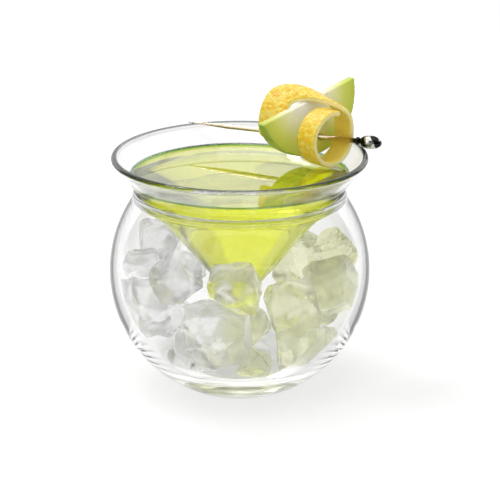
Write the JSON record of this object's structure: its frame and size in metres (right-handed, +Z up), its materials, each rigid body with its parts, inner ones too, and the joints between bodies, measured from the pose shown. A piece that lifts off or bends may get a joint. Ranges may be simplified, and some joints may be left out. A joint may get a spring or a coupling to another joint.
{
  "type": "stemless martini glass",
  "caption": "Cone-shaped cocktail glass resting in a round ice bowl, served with a green drink, ice, a citrus twist and a melon slice on a metal pick.",
  "frame": {"origin": "centre of the bowl's foot, on the surface that it stands on", "axes": "+Z up through the middle of both glasses, +X to the right with the pick's bead at the right, +Y away from the viewer"},
  "size_m": [0.0992, 0.095, 0.107],
  "materials": {
    "clear_glass": "gloss",
    "green_drink": "gloss",
    "clear_ice": "satin",
    "pick_metal": "polished",
    "citrus_peel": "satin",
    "melon_flesh": "satin"
  },
  "bodies": {
    "root": {"bowl": "clear_glass", "cone_glass": "clear_glass", "drink": "green_drink", "pick": "pick_metal", "citrus_twist": "citrus_peel", "melon_slice": "melon_flesh", "ice_01": "clear_ice", "ice_02": "clear_ice", "ice_03": "clear_ice", "ice_04": "clear_ice", "ice_05": "clear_ice", "ice_06": "clear_ice", "ice_07": "clear_ice", "ice_08": "clear_ice", "ice_09": "clear_ice", "ice_10": "clear_ice", "ice_11": "clear_ice", "ice_12": "clear_ice", "ice_13": "clear_ice", "ice_14": "clear_ice", "ice_15": "clear_ice", "ice_16": "clear_ice", "ice_17": "clear_ice", "ice_18": "clear_ice", "ice_19": "clear_ice", "ice_20": "clear_ice"}
  },
  "joints": []
}
